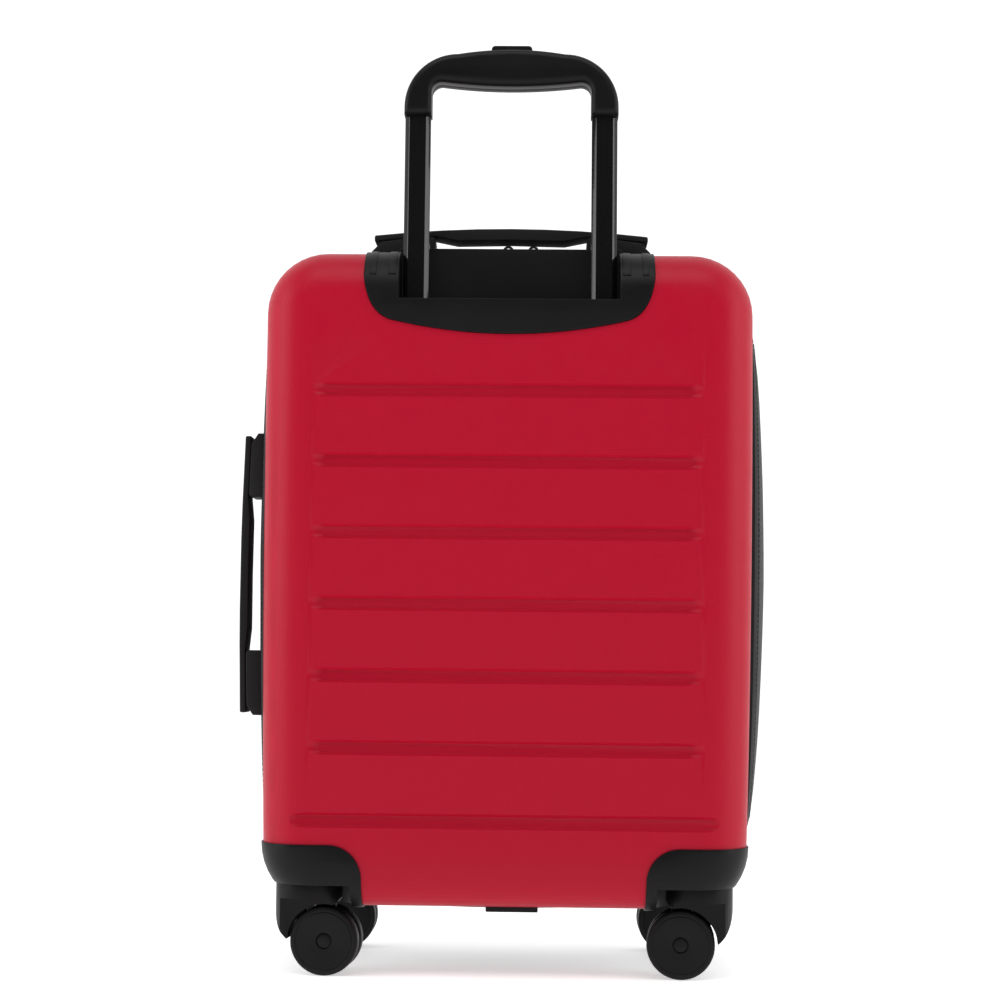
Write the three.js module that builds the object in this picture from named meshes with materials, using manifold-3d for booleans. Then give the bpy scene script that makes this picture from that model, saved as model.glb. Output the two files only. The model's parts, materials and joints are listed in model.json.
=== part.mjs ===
// Upright cabin suitcase on four twin-wheel casters: a moulded back shell on a soft body,
// a zipped front lid, a two-stage trolley handle and two strap handles.
// Millimetres. +Z is up, the floor is z = 0, and the shell's back faces -Y.
import * as THREE from 'three'
import { mergeVertices } from 'three/addons/utils/BufferGeometryUtils.js'
import Module from 'manifold-3d'

const wasm = await Module()
wasm.setup()

// ---- Driving dimensions --------------------------------------------------
const FIT = 0.3                 // gap between fixed neighbours
const RUN = 0.45                // gap between pieces that move on each other

const CASE_WIDTH = 380          // across the shell's rim
const CASE_HEIGHT = 505         // from the underside to the shell's top
const CASE_BOTTOM = 52          // underside above the floor
const TOTAL_DEPTH = 230         // from the guards' back to the front pocket
const CORNER_RADIUS = 48        // corners seen from the back
const SIDE_TAPER = 4.8          // each side's lean inward at its lower end
const TAPER_POWER = 2.2         // higher keeps the taper lower down
const BACK_EDGE = 36            // round from the back face into the walls
const FRONT_EDGE = 20           // round from the front face into the walls
const SHELL_DEPTH = 53
const SHELL_WALL = 2.5
const FABRIC_WALL = 3
const GUSSET_BULGE = 15         // how far the soft walls belly out
const BULGE_POWER = 0.4         // lower is a flatter belly
const RIGHT_SHARE = 1.2         // each wall's share of the bulge
const TOP_SHARE = 0.6
const LEFT_SHARE = 0.8
const BOTTOM_SHARE = 0.5
const BOTTOM_POWER = 1.5        // the bottom bellies only between the guards
const PIPING = 3
const PIPING_PROUD = 0.8

const RIB_COUNT = 7
const RIB_PITCH = 54.5
const RIB_HEIGHT = 11.5
const RIB_DEPTH = 3
const RIB_LENGTH = 301
const LOWEST_RIB_LENGTH = 334
const LOWEST_RIB_RISE = 66.5    // above the underside

const LID_DEPTH = 78
const BASE_HEIGHT = 54          // fixed front wall under the lid
const LID_CORNER = 25           // how far above the lid's edge the zip ends
const POCKET_DEPTH = 8
const POCKET_WIDTH = 300
const POCKET_HEIGHT = 330
const POCKET_RISE = 30          // above the lid's lower edge
const POCKET_RADIUS = 30
const ZIP_WIDTH = 8
const ZIP_THICK = 1.5
const SLIDER_LENGTH = 9
const SLIDER_WIDTH = 8
const SLIDER_HEIGHT = 6
const SLIDER_PLACES = [-3.4, 17.6] // the two sliders, just either side of the middle
const PULL_WIDTH = 9.5
const PULL_LENGTH = 17
const PULL_CORD = 2.2
const FRAME_THICK = 4
const FRAME_WIDTH = 5
const FRAME_PLACE = 12

const TROLLEY_SPAN = 146        // between the tubes' middles
const TROLLEY_INSET = 22        // tube middles in from the back face
const TUBE = [20, 14]           // inner tube, width and depth
const TUBE_WALL = 1
const TUBE_CHAMFER = 3.6
const BEZEL_HALF_WIDTH = 112
const BEZEL_DROP = 68           // from the shell's top to the bezel's lowest edge
const BEZEL_WALL = 2.5
const BEZEL_PROUD = 1.5
const BEZEL_DEPTH = 48
const BEZEL_RISE = 7            // rear wall above the shell's top
const FLOOR_DROP = 41           // from the shell's top to the recess floor
const FOOT_HEIGHT = 30
const FOOT_SOCKET = 12          // how deep a sleeve sits in the trolley foot
const GRIP_HEIGHT = 52
const GRIP_DEPTH = 26
const GRIP_LEG = 21.4
const GRIP_BEAM = 29.5
const GRIP_OUTER_RADIUS = 42
const GRIP_INNER_RADIUS = 8
const GRIP_CROWN = 3.5
const GRIP_BEVEL = 3
const GRIP_WALL = 2             // under the button's link
const GRIP_SOCKET = 12
const REST_EXTENSION = 147.7    // grip above its stowed place
const INNER_TRAVEL = 235
const BUTTON_WIDTH = 32
const BUTTON_DEPTH = 12
const BUTTON_PROUD = 4
const BUTTON_TRAVEL = 3.5
const LINK_THICK = 5
const LINK_DROP = 9             // the link's ends step down this far to the rods
const ROD_RADIUS = 2.5
const PIN_RADIUS = 2.4
const PIN_RISE = 20             // above the inner tube's lower end

const HANDLE_PLACE = 74         // strap handles in from the back face
const SIDE_HANDLE_HEIGHT = 306.5 // above the floor
const STRAP_LENGTH = 219
const STRAP_WIDTH = 24
const STRAP_END_THICK = 5
const STRAP_THROAT = 17.5       // along the strap from a pad to the thick grip
const TOP_HANDLE = { pad: 10, bow: 6, thick: 9.5 }  // feet's height, strap's bow, grip's thickness
const SIDE_HANDLE = { pad: 7, bow: 2, thick: 7 }
const PAD_LENGTH = 49
const PAD_WIDTH = 26

const WHEEL_RADIUS = 26
const WHEEL_WIDTH = 11.5
const WHEEL_GAP = 8             // between the two wheels of a caster
const CASTER_TRAIL = 14.2
const CASTER_INSET = 40.5       // swivel axis in from the shell's side
const CASTER_SPACING = 150      // between the front and rear swivel axes
const REAR_YAWS = { left: -4, right: -4 }  // degrees off straight at rest
const FORK_RADIUS = 25.5
const ARCH_GAP = 2              // between a wheel and the fork's arch over it
const FORK_HEAD_THICK = 11
const AXLE_RADIUS = 3
const KINGPIN_RADIUS = 4
const RECESS_REACH = 34         // wheel recess inward of the swivel axis
const RECESS_CEILING = 69.5
const RECESS_CORNER = 25
const GUARD_LINER = 4
const GUARD_PROUD = 1.5
const GUARD_TOP = 100
const GUARD_REACH = 83          // how far a guard reaches along each wall
const GUARD_CURVE = 25

const STUD = [40, 12, 4]        // size of the stud, its height below the case
const STUD_PLACE = [6, 34]      // right of the middle, in from the back face

// ---- Derived places --------------------------------------------------------
const rad = THREE.MathUtils.degToRad
const halfWidth = CASE_WIDTH / 2
const caseTop = CASE_BOTTOM + CASE_HEIGHT
const backFace = -TOTAL_DEPTH / 2 + GUARD_PROUD
const pocketFace = TOTAL_DEPTH / 2
const frontFace = pocketFace - POCKET_DEPTH
const rim = backFace + SHELL_DEPTH
const frontEdgeStart = frontFace - FRONT_EDGE
const lidPlane = frontFace - LID_DEPTH
const lidBottom = CASE_BOTTOM + BASE_HEIGHT
const trolleyY = backFace + TROLLEY_INSET
const tubeX = TROLLEY_SPAN / 2
const recessFloor = caseTop - FLOOR_DROP
const handleY = backFace + HANDLE_PLACE
const swivelX = halfWidth - CASTER_INSET
const swivelY = CASTER_SPACING / 2

const gussetBulge = (y) => {
  const share = THREE.MathUtils.clamp((y - rim) / (frontEdgeStart - rim), 0, 1)
  return GUSSET_BULGE * Math.sin(Math.PI * share) ** BULGE_POWER
}
const sideTaper = (z) => {
  const share = THREE.MathUtils.clamp((caseTop - CORNER_RADIUS - z) / (CASE_HEIGHT - 2 * CORNER_RADIUS), 0, 1)
  return SIDE_TAPER * share ** TAPER_POWER
}
const leftWall = halfWidth - sideTaper(SIDE_HANDLE_HEIGHT) + LEFT_SHARE * gussetBulge(handleY)
const leftReach = leftWall + SIDE_HANDLE.pad + FIT + STRAP_END_THICK + SIDE_HANDLE.bow
const rightReach = halfWidth - sideTaper(CASE_BOTTOM + CASE_HEIGHT / 2) + RIGHT_SHARE * GUSSET_BULGE
const caseMiddle = (leftReach - rightReach) / 2

// ---- Solids and meshes -------------------------------------------------------
function solid(geometry) {
  const bare = new THREE.BufferGeometry()
  bare.setAttribute('position', geometry.getAttribute('position'))
  if (geometry.index) bare.setIndex(geometry.index)
  const merged = mergeVertices(bare, 1e-4)
  const vertProperties = new Float32Array(merged.getAttribute('position').array)
  const triVerts = new Uint32Array(merged.index.array)
  return new wasm.Manifold(new wasm.Mesh({ numProp: 3, vertProperties, triVerts }))
}

function geometryOf(manifold) {
  const mesh = manifold.getMesh()
  const geometry = new THREE.BufferGeometry()
  geometry.setAttribute('position', new THREE.BufferAttribute(mesh.vertProperties, 3))
  geometry.setIndex(new THREE.BufferAttribute(mesh.triVerts, 1))
  geometry.computeVertexNormals()
  return geometry
}

const cut = (body, ...tools) => tools.reduce((left, tool) => left.subtract(tool), body)
const join = (body, ...others) => others.reduce((sum, other) => sum.add(other), body)

function box([x0, x1], [y0, y1], [z0, z1]) {
  const geometry = new THREE.BoxGeometry(x1 - x0, y1 - y0, z1 - z0)
  return solid(geometry.translate((x0 + x1) / 2, (y0 + y1) / 2, (z0 + z1) / 2))
}

// A cylinder or cone frustum that starts at a point and runs along X, Y or Z.
function rod(radius, length, [x, y, z], along = 'z', sides = 16, topRadius = radius) {
  const geometry = new THREE.CylinderGeometry(topRadius, radius, length, sides)
  geometry.translate(0, length / 2, 0)
  if (along === 'z') geometry.rotateX(Math.PI / 2)
  if (along === 'x') geometry.rotateZ(-Math.PI / 2)
  return solid(geometry.translate(x, y, z))
}

function polygon(points) {
  return new THREE.Shape(points.map(([x, y]) => new THREE.Vector2(x, y)))
}

// A shape drawn in X and Z, made solid between two places along Y.
function slabY(shape, y0, y1, options = {}) {
  const geometry = new THREE.ExtrudeGeometry(shape, {
    depth: y1 - y0, bevelEnabled: false, curveSegments: 6, ...options,
  })
  return solid(geometry.rotateX(Math.PI / 2).translate(0, y1, 0))
}

// A shape drawn in Y and Z, made solid between two places along X.
function slabX(shape, x0, x1) {
  const geometry = new THREE.ExtrudeGeometry(shape, {
    depth: x1 - x0, bevelEnabled: false, curveSegments: 6,
  })
  return solid(geometry.rotateX(Math.PI / 2).rotateZ(Math.PI / 2).translate(x0, 0, 0))
}

// A shape drawn in X and Y, made solid between two heights.
function slabZ(shape, z0, z1, curveSegments = 6) {
  const geometry = new THREE.ExtrudeGeometry(shape, {
    depth: z1 - z0, bevelEnabled: false, curveSegments,
  })
  return solid(geometry.translate(0, 0, z0))
}

function roundedRectangle(width, height, radius, middleX = 0, middleY = 0) {
  const [x, y] = [width / 2, height / 2]
  const shape = new THREE.Shape()
  shape.absarc(middleX + x - radius, middleY - y + radius, radius, -Math.PI / 2, 0)
  shape.absarc(middleX + x - radius, middleY + y - radius, radius, 0, Math.PI / 2)
  shape.absarc(middleX - x + radius, middleY + y - radius, radius, Math.PI / 2, Math.PI)
  shape.absarc(middleX - x + radius, middleY - y + radius, radius, Math.PI, Math.PI * 1.5)
  return shape
}

const finishes = {
  shellRed: { color: 0xa3182a, roughness: 0.42, metalness: 0 },
  fabricBlack: { color: 0x1b1b1d, roughness: 0.85, metalness: 0 },
  lidRed: { color: 0x931726, roughness: 0.8, metalness: 0 },
  satinBlack: { color: 0x1a1a1b, roughness: 0.5, metalness: 0 },
  glossBlack: { color: 0x0c0c0e, roughness: 0.18, metalness: 0.3 },
  rubberBlack: { color: 0x232324, roughness: 0.75, metalness: 0 },
  steel: { color: 0xa8a9ab, roughness: 0.35, metalness: 0.9 },
  brightMetal: { color: 0xc9c9cc, roughness: 0.25, metalness: 1 },
}

const suitcase = new THREE.Group()
suitcase.position.x = caseMiddle

function addPart(name, body, finish, parent = suitcase) {
  const geometry = body.isBufferGeometry ? body : geometryOf(body)
  const mesh = new THREE.Mesh(geometry, new THREE.MeshStandardMaterial(finishes[finish]))
  mesh.name = name
  parent.add(mesh)
  return mesh
}

// ---- The case's outer form -----------------------------------------------------
const ARC_STEPS = 4
const WALL_STEPS = 4
const GUSSET_RINGS = [0, 0.08, 0.25, 0.5, 0.75, 0.92, 1]
const EDGE_STEPS = 3

// The case seen from the back, with each wall pushed out by its share of the bulge.
function outline(y, inset, bulge) {
  const [x, low, high] = [halfWidth - CORNER_RADIUS, CASE_BOTTOM + CORNER_RADIUS, caseTop - CORNER_RADIUS]
  const lowX = x - SIDE_TAPER
  const corners = [[lowX, low, -90, RIGHT_SHARE, BULGE_POWER], [x, high, 0, TOP_SHARE, BULGE_POWER],
    [-x, high, 90, LEFT_SHARE, BULGE_POWER], [-lowX, low, 180, BOTTOM_SHARE, BOTTOM_POWER]]
  const radius = CORNER_RADIUS - inset
  const place = ([cx, cz], degrees, reach) =>
    [cx + reach * Math.cos(rad(degrees)), y, cz + reach * Math.sin(rad(degrees))]
  const points = []
  corners.forEach(([cx, cz, start, share, power], index) => {
    for (let step = 0; step <= ARC_STEPS; step += 1) {
      points.push(place([cx, cz], start + (90 * step) / ARC_STEPS, radius))
    }
    const [nextX, nextZ] = corners[(index + 1) % corners.length]
    for (let step = 1; step < WALL_STEPS; step += 1) {
      const along = step / WALL_STEPS
      const z = cz + (nextZ - cz) * along
      const upright = Math.sign(cx) === Math.sign(nextX)
      const middle = [upright ? Math.sign(cx) * (x - sideTaper(z)) : cx + (nextX - cx) * along, z]
      const push = bulge * share * Math.sin(Math.PI * along) ** power
      points.push(place(middle, start + 90, radius + push))
    }
  })
  return points
}

function loft(rings) {
  const count = rings[0].length
  const positions = rings.flat(2)
  const faces = []
  for (let ring = 0; ring < rings.length - 1; ring += 1) {
    for (let j = 0; j < count; j += 1) {
      const [a, b] = [ring * count + j, ring * count + ((j + 1) % count)]
      faces.push(a, a + count, b + count, a, b + count, b)
    }
  }
  const ends = [[0, false], [rings.length - 1, true]]
  ends.forEach(([ring, far]) => {
    const middle = positions.length / 3
    const points = rings[ring]
    positions.push(...[0, 1, 2].map((axis) => points.reduce((sum, point) => sum + point[axis], 0) / count))
    for (let j = 0; j < count; j += 1) {
      const [a, b] = [ring * count + j, ring * count + ((j + 1) % count)]
      faces.push(middle, far ? b : a, far ? a : b)
    }
  })
  const geometry = new THREE.BufferGeometry()
  geometry.setAttribute('position', new THREE.Float32BufferAttribute(positions, 3))
  geometry.setIndex(faces)
  return solid(geometry)
}

// The whole case as one solid, shrunk by an inset or grown by a negative one.
function caseForm(inset) {
  const rings = []
  for (let step = 0; step < EDGE_STEPS; step += 1) {
    const turn = rad((90 * step) / EDGE_STEPS)
    const reach = BACK_EDGE - inset
    rings.push(outline(backFace + BACK_EDGE - reach * Math.cos(turn), BACK_EDGE - reach * Math.sin(turn), 0))
  }
  GUSSET_RINGS.forEach((share) => {
    const y = rim + (frontEdgeStart - rim) * share
    rings.push(outline(y, inset, gussetBulge(y)))
  })
  for (let step = EDGE_STEPS - 1; step >= 0; step -= 1) {
    const turn = rad((90 * step) / EDGE_STEPS)
    const reach = FRONT_EDGE - inset
    rings.push(outline(frontFace - FRONT_EDGE + reach * Math.cos(turn), FRONT_EDGE - reach * Math.sin(turn), 0))
  }
  return loft(rings)
}

const WIDE = 400
const everywhereX = [-WIDE, WIDE]
const everywhereZ = [-WIDE, 2 * WIDE]
const slice = (y0, y1, z0 = -WIDE, z1 = 2 * WIDE) => box(everywhereX, [y0, y1], [z0, z1])

const corners = [
  { name: 'rear_left', side: -1, end: -1, yaw: REAR_YAWS.left },
  { name: 'rear_right', side: 1, end: -1, yaw: REAR_YAWS.right },
  { name: 'front_left', side: -1, end: 1, yaw: 0 },
  { name: 'front_right', side: 1, end: 1, yaw: 0 },
]

// The space a caster swings in, open outward and below.
function wheelRecess({ side, end }, grow) {
  const reach = RECESS_REACH + grow
  const out = -2 * CORNER_RADIUS
  const turn = reach - RECESS_CORNER
  const shape = new THREE.Shape()
  shape.moveTo(out, out)
  shape.lineTo(reach, out)
  shape.absarc(turn, turn, RECESS_CORNER, 0, Math.PI / 2)
  shape.lineTo(out, reach)
  const placed = shape.getPoints(4).map(({ x, y }) => [side * (swivelX - x), end * (swivelY - y)])
  return slabZ(polygon(placed), CASE_BOTTOM - 20, RECESS_CEILING + grow)
}

const recesses = (grow) => corners.map((corner) => wheelRecess(corner, grow))
const fullForm = caseForm(0)
const fabricCore = cut(caseForm(FABRIC_WALL), ...recesses(GUARD_LINER + FIT + FABRIC_WALL))

// ---- Trolley bezel outline -------------------------------------------------------
function bezelOutline(grow) {
  const half = BEZEL_HALF_WIDTH + grow
  const low = caseTop - BEZEL_DROP - grow
  const shape = new THREE.Shape()
  shape.moveTo(-half, caseTop + WIDE)
  shape.lineTo(-half, low + 46)
  shape.quadraticCurveTo(-half + 3, low + 14, -half + 24, low + 10)
  shape.quadraticCurveTo(0, low - 10, half - 24, low + 10)
  shape.quadraticCurveTo(half - 3, low + 14, half, low + 46)
  shape.lineTo(half, caseTop + WIDE)
  return shape
}

const bezelRear = backFace + BEZEL_DEPTH

// ---- Back shell ------------------------------------------------------------------
function ribPrism(index, grow) {
  const length = (index === 0 ? LOWEST_RIB_LENGTH : RIB_LENGTH) + 2 * grow
  const height = RIB_HEIGHT + 2 * grow
  const z = CASE_BOTTOM + LOWEST_RIB_RISE + index * RIB_PITCH
  const shape = roundedRectangle(length, height, height / 2 - 0.01, 0, z)
  return slabY(shape, backFace - 10, backFace + RIB_DEPTH + grow, { curveSegments: 2 })
}

function backShell() {
  const ribs = (grow) => Array.from({ length: RIB_COUNT }, (_, index) => ribPrism(index, grow))
  const shellRim = rim - PIPING / 2 - FIT
  const hollow = cut(caseForm(SHELL_WALL), ...ribs(SHELL_WALL), ...recesses(GUARD_LINER + FIT + SHELL_WALL))
  const bezelHole = slabY(bezelOutline(FIT), backFace - 20, bezelRear + FIT)
  return cut(fullForm.intersect(slice(-WIDE, shellRim)), ...ribs(0), hollow, bezelHole,
    ...recesses(GUARD_LINER + FIT))
}

// ---- Soft body, lid, piping, zip and frame ----------------------------------------
function softBody() {
  const rear = slice(rim + PIPING / 2 + FIT, lidPlane - FIT)
  const base = slice(lidPlane - FIT - 1, WIDE, -WIDE, lidBottom - FIT)
  return cut(fullForm.intersect(join(rear, base)), fabricCore, ...recesses(GUARD_LINER + FIT))
}

function frontLid() {
  return fullForm.intersect(slice(lidPlane, WIDE, lidBottom)).subtract(fabricCore)
}

function band(innerInset, outerInset, y0, y1, z0 = -WIDE) {
  return caseForm(outerInset).subtract(caseForm(innerInset)).intersect(slice(y0, y1, z0))
}

function frontPocket() {
  const z = lidBottom + POCKET_RISE + POCKET_HEIGHT / 2
  const shape = roundedRectangle(POCKET_WIDTH - 6, POCKET_HEIGHT - 6, POCKET_RADIUS, 0, z)
  return slabY(shape, frontFace + FIT, pocketFace - 3,
    { bevelEnabled: true, bevelSize: 3, bevelThickness: 3, bevelSegments: 1, curveSegments: 5 })
    .subtract(slice(-WIDE, frontFace + FIT))
}

addPart('back_shell', backShell(), 'shellRed')
addPart('soft_body', softBody(), 'fabricBlack')
addPart('rim_piping',
  band(FABRIC_WALL, -PIPING_PROUD, rim - PIPING / 2, rim + PIPING / 2, GUARD_TOP + FIT), 'satinBlack')
addPart('front_lid', frontLid(), 'lidRed')
addPart('front_pocket', frontPocket(), 'lidRed')
addPart('zip_track',
  band(-FIT, -FIT - ZIP_THICK, lidPlane - FIT - ZIP_WIDTH, lidPlane - FIT, lidBottom + LID_CORNER), 'satinBlack')
addPart('frame_hoop',
  band(FABRIC_WALL + FIT + FRAME_THICK, FABRIC_WALL + FIT, FRAME_PLACE, FRAME_PLACE + FRAME_WIDTH), 'steel')

// Each slider straddles the zip on the top wall. Its pull is a cord loop in the slider's slot,
// drawn about the middle of the loop's round lower end.
function sliderBody() {
  const base = box([-SLIDER_LENGTH / 2, SLIDER_LENGTH / 2], [-SLIDER_WIDTH / 2, SLIDER_WIDTH / 2], [0, SLIDER_HEIGHT])
  const slot = box([-SLIDER_LENGTH, SLIDER_LENGTH],
    [-PULL_CORD / 2 - RUN, PULL_CORD / 2 + RUN], [1.5, SLIDER_HEIGHT + 1])
  return base.subtract(slot)
}

function pullLoop() {
  const middle = (PULL_LENGTH - PULL_WIDTH) / 2
  const shape = roundedRectangle(PULL_WIDTH, PULL_LENGTH, PULL_WIDTH / 2 - 0.01, 0, middle)
  const inside = roundedRectangle(PULL_WIDTH - 2 * PULL_CORD, PULL_LENGTH - 2 * PULL_CORD,
    PULL_WIDTH / 2 - PULL_CORD - 0.01, 0, middle)
  const half = PULL_CORD / 2
  return slabY(shape, -half, half, { curveSegments: 2 })
    .subtract(slabY(inside, -half - 1, half + 1, { curveSegments: 2 }))
}

const zipMiddle = lidPlane - FIT - ZIP_WIDTH / 2
const sliderBase = caseTop + TOP_SHARE * gussetBulge(zipMiddle) + FIT + ZIP_THICK + RUN
SLIDER_PLACES.forEach((x, index) => {
  const place = new THREE.Group()
  place.position.set(x, zipMiddle, sliderBase)
  suitcase.add(place)
  const side = index === 0 ? 'left' : 'right'
  addPart(`zip_slider_${side}`, sliderBody(), 'brightMetal', place)
  const pull = addPart(`zip_pull_${side}`, pullLoop(), 'satinBlack', place)
  pull.position.z = 1.5 + RUN + PULL_WIDTH / 2
})

// ---- Trolley ---------------------------------------------------------------------
function bezel() {
  const cavityHalf = tubeX + GRIP_LEG / 2 + 1.5
  const body = slabY(bezelOutline(0), backFace - 20, bezelRear)
  const rearWall = box([-cavityHalf - BEZEL_WALL, cavityHalf + BEZEL_WALL],
    [bezelRear - BEZEL_WALL - 3, bezelRear], [recessFloor - BEZEL_WALL, caseTop + BEZEL_RISE])
  const recessBack = bezelRear - BEZEL_WALL - 3
  const recess = (grow) => box([-cavityHalf - grow, cavityHalf + grow],
    [-WIDE, recessBack + grow], [recessFloor - grow, 2 * WIDE])
  const inside = cut(slabY(bezelOutline(-BEZEL_WALL), backFace, WIDE).intersect(caseForm(BEZEL_WALL)),
    recess(BEZEL_WALL))
  const outer = join(body.intersect(caseForm(-BEZEL_PROUD)), rearWall)
  const tubeWays = [-1, 1].flatMap((side) => [
    tubeSolid(side, 1, 2 * RUN, -WIDE, 2 * WIDE),
    tubeSolid(side, 2, 2 * FIT, -WIDE, recessFloor - BEZEL_WALL),
  ])
  return cut(outer, recess(0), inside, ...tubeWays)
}

// Tube sizes: stage 0 is the inner tube, 1 the middle tube, 2 the fixed sleeve.
function tubeShape(stage, grow) {
  const extra = stage * 2 * (TUBE_WALL + RUN) + grow
  const [x, y] = [(TUBE[0] + extra) / 2, (TUBE[1] + extra) / 2]
  const c = TUBE_CHAMFER
  return polygon([[x, -y + c], [x, y - c], [x - c, y], [-x + c, y], [-x, y - c], [-x, -y + c], [-x + c, -y], [x - c, -y]])
}

function tubeSolid(side, stage, grow, z0, z1) {
  return slabZ(tubeShape(stage, grow), z0, z1).translate([side * tubeX, trolleyY, 0])
}

function tube(side, stage, z0, z1) {
  return tubeSolid(side, stage, 0, z0, z1)
    .subtract(tubeSolid(side, stage, -2 * TUBE_WALL, z0 - 1, z1 + 1))
}

const footTop = CASE_BOTTOM + FOOT_HEIGHT
const sleeveBottom = footTop - FOOT_SOCKET
const stageBottom = footTop + 6
const middleTop = recessFloor - FIT
const innerTop = recessFloor + 2 * FIT + GRIP_SOCKET + REST_EXTENSION
const innerBottom = stageBottom + 6 + REST_EXTENSION
const pinZ = innerBottom + PIN_RISE

addPart('trolley_bezel', bezel(), 'satinBlack')

function trolleyFoot() {
  const half = [tubeX + TUBE[0] / 2 + 8, TUBE[1] / 2 + 6]
  const block = box([-half[0], half[0]], [trolleyY - half[1], trolleyY + half[1]],
    [CASE_BOTTOM, footTop]).intersect(caseForm(SHELL_WALL + FIT))
  return cut(block, ...[-1, 1].map((side) => tubeSolid(side, 2, 2 * FIT, sleeveBottom - FIT, WIDE)))
}
addPart('trolley_foot', trolleyFoot(), 'satinBlack')

// The lock pin's head runs in a slot down the middle tube's inward face.
function pinSlot(side) {
  const stowedPin = pinZ - REST_EXTENSION
  const x = side * (tubeX - TUBE[0] / 2 - TUBE_WALL)
  const half = PIN_RADIUS + RUN
  return box([x - 3, x + 3], [trolleyY - half, trolleyY + half],
    [stowedPin - half, stowedPin + INNER_TRAVEL + half])
}

const sides = [['left', -1], ['right', 1]]
sides.forEach(([name, side]) => {
  addPart(`tube_sleeve_${name}`, tube(side, 2, sleeveBottom, recessFloor - BEZEL_WALL - FIT), 'steel')
  addPart(`middle_tube_${name}`, tube(side, 1, stageBottom, middleTop).subtract(pinSlot(side)), 'glossBlack')
  const pinHole = rod(PIN_RADIUS + RUN, 8, [side * (tubeX - TUBE[0] / 2 + TUBE_WALL / 2) - 4, trolleyY, pinZ], 'x', 12)
  addPart(`inner_tube_${name}`, tube(side, 0, innerBottom, innerTop).subtract(pinHole), 'glossBlack')
  const pinOuter = tubeX - TUBE[0] / 2 - TUBE_WALL
  addPart(`lock_pin_${name}`,
    rod(PIN_RADIUS, 6, [side > 0 ? pinOuter : -pinOuter - 6, trolleyY, pinZ], 'x', 10), 'steel')
})

// ---- Grip --------------------------------------------------------------------------
const gripBottom = recessFloor + FIT + REST_EXTENSION
const gripTop = gripBottom + GRIP_HEIGHT
const beamUnder = gripTop - GRIP_BEAM
const gripHalf = tubeX + GRIP_LEG / 2
const linkZ = beamUnder + GRIP_CROWN + GRIP_WALL + BUTTON_TRAVEL + RUN

function gripOutline() {
  const inner = tubeX - GRIP_LEG / 2
  const shoulder = gripTop - GRIP_CROWN
  const [R, r] = [GRIP_OUTER_RADIUS, GRIP_INNER_RADIUS]
  const shape = new THREE.Shape()
  shape.moveTo(-gripHalf, gripBottom)
  shape.lineTo(-inner, gripBottom)
  shape.absarc(-inner + r, beamUnder + GRIP_CROWN - r, r, Math.PI, Math.PI / 2, true)
  shape.quadraticCurveTo(0, beamUnder - GRIP_CROWN, inner - r, beamUnder + GRIP_CROWN)
  shape.absarc(inner - r, beamUnder + GRIP_CROWN - r, r, Math.PI / 2, 0, true)
  shape.lineTo(inner, gripBottom)
  shape.lineTo(gripHalf, gripBottom)
  shape.absarc(gripHalf - R, shoulder - R, R, 0, Math.PI / 2, false)
  shape.quadraticCurveTo(0, gripTop + GRIP_CROWN, -gripHalf + R, shoulder)
  shape.absarc(-gripHalf + R, shoulder - R, R, Math.PI / 2, Math.PI, false)
  return shape
}

// The bar under the button. Its two ends step down inside the grip's shoulders to the rods.
function linkBar(grow, travel) {
  const [top, foot] = [linkZ + LINK_THICK + grow, linkZ - LINK_DROP - grow - travel]
  const right = [[tubeX - 6, top], [tubeX + 2 + grow, top - 8], [tubeX + 2 + grow, foot],
    [tubeX - 8 - grow, foot], [tubeX - 8 - grow, linkZ - grow - travel]]
  const left = right.map(([x, z]) => [-x, z]).reverse()
  return slabY(polygon([...right, ...left]), trolleyY - 4.5 - grow, trolleyY + 4.5 + grow)
}

function gripSolid() {
  const half = GRIP_DEPTH / 2
  const form = slabY(gripOutline(), trolleyY - half + GRIP_BEVEL, trolleyY + half - GRIP_BEVEL,
    { bevelEnabled: true, bevelSize: GRIP_BEVEL, bevelOffset: -GRIP_BEVEL, bevelThickness: GRIP_BEVEL,
      bevelSegments: 1, curveSegments: 4 })
  const linkRoom = linkBar(RUN, BUTTON_TRAVEL)
  const buttonRoom = box([-BUTTON_WIDTH / 2 - RUN, BUTTON_WIDTH / 2 + RUN],
    [trolleyY - BUTTON_DEPTH / 2 - RUN, trolleyY + BUTTON_DEPTH / 2 + RUN],
    [linkZ - BUTTON_TRAVEL - RUN, gripTop + 10])
  const sockets = sides.map(([, side]) => tubeSolid(side, 0, 2 * FIT, gripBottom - 5, innerTop + FIT))
  const rodHoles = sides.map(([, side]) =>
    rod(ROD_RADIUS + RUN, linkZ - LINK_DROP - BUTTON_TRAVEL - innerTop + 1,
      [side * tubeX, trolleyY, innerTop - 0.5], 'z', 10))
  return cut(form, linkRoom, buttonRoom, ...sockets, ...rodHoles)
}

const grip = gripSolid()
addPart('grip_rear_half', grip.intersect(slice(-WIDE, trolleyY - FIT / 2)), 'satinBlack')
addPart('grip_front_half', grip.intersect(slice(trolleyY + FIT / 2, WIDE)), 'satinBlack')

function releaseButton() {
  const cap = slabY(roundedRectangle(BUTTON_WIDTH, gripTop + BUTTON_PROUD - linkZ - 1, 3, 0,
    (gripTop + BUTTON_PROUD + linkZ + 1) / 2),
  trolleyY - BUTTON_DEPTH / 2, trolleyY + BUTTON_DEPTH / 2, { curveSegments: 3 })
  return join(cap, linkBar(0, 0))
}
addPart('release_button', releaseButton(), 'satinBlack')
const rodBottom = pinZ + PIN_RADIUS + BUTTON_TRAVEL + RUN
sides.forEach(([name, side]) => {
  addPart(`release_rod_${name}`,
    rod(ROD_RADIUS, linkZ - LINK_DROP - FIT - rodBottom, [side * tubeX, trolleyY, rodBottom], 'z', 8), 'steel')
})

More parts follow.
